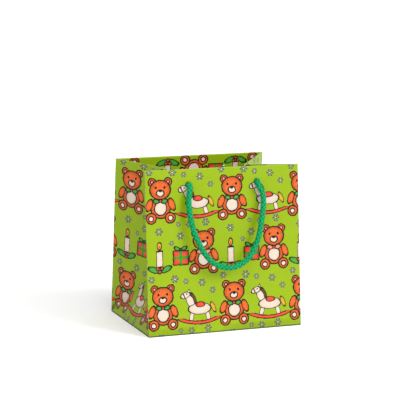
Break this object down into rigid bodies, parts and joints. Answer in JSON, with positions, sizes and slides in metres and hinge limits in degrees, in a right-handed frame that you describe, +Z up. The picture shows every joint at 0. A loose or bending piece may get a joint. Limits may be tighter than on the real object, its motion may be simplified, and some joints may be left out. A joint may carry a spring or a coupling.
{
  "type": "gift bag",
  "caption": "Small square printed-paper gift bag with folded side gussets, turned-in hem, base board and knotted cord handles that swing up for carrying.",
  "frame": {"origin": "centre of the base, on the surface that the bag stands on", "axes": "+X to the right seen from the front, -Y to the front panel, +Z up out of the mouth"},
  "size_m": [0.14, 0.118, 0.14],
  "materials": {
    "printed_paper": "gloss",
    "white_paper": "matte",
    "grey_card": "matte",
    "green_cord": "satin"
  },
  "bodies": {
    "bag": {"front_panel": "printed_paper", "back_panel": "printed_paper", "left_gusset_front": "printed_paper", "left_gusset_back": "printed_paper", "right_gusset_front": "printed_paper", "right_gusset_back": "printed_paper", "left_gusset_foot": "printed_paper", "right_gusset_foot": "printed_paper", "front_hem": "printed_paper", "back_hem": "printed_paper", "left_hem_front": "printed_paper", "left_hem_back": "printed_paper", "right_hem_front": "printed_paper", "right_hem_back": "printed_paper", "side_seam_tab": "white_paper", "bottom_flap_front": "printed_paper", "bottom_flap_back": "printed_paper", "bottom_flap_left": "white_paper", "bottom_flap_right": "white_paper", "base_board": "grey_card", "front_stiffener": "grey_card", "back_stiffener": "grey_card", "front_knot_left": "green_cord", "front_knot_right": "green_cord", "back_knot_left": "green_cord", "back_knot_right": "green_cord"},
    "front_loop": {"front_handle": "green_cord"},
    "back_loop": {"back_handle": "green_cord"}
  },
  "joints": [
    {"name": "front_handle_swing", "type": "hinge", "parent": "bag", "child": "front_loop", "pos_m": [0, -0.04333, 0.12701], "axis": [-1, 0, 0], "range_deg": [0, 172]},
    {"name": "back_handle_swing", "type": "hinge", "parent": "bag", "child": "back_loop", "pos_m": [0, 0.04333, 0.12701], "axis": [1, 0, 0], "range_deg": [0, 172]}
  ]
}
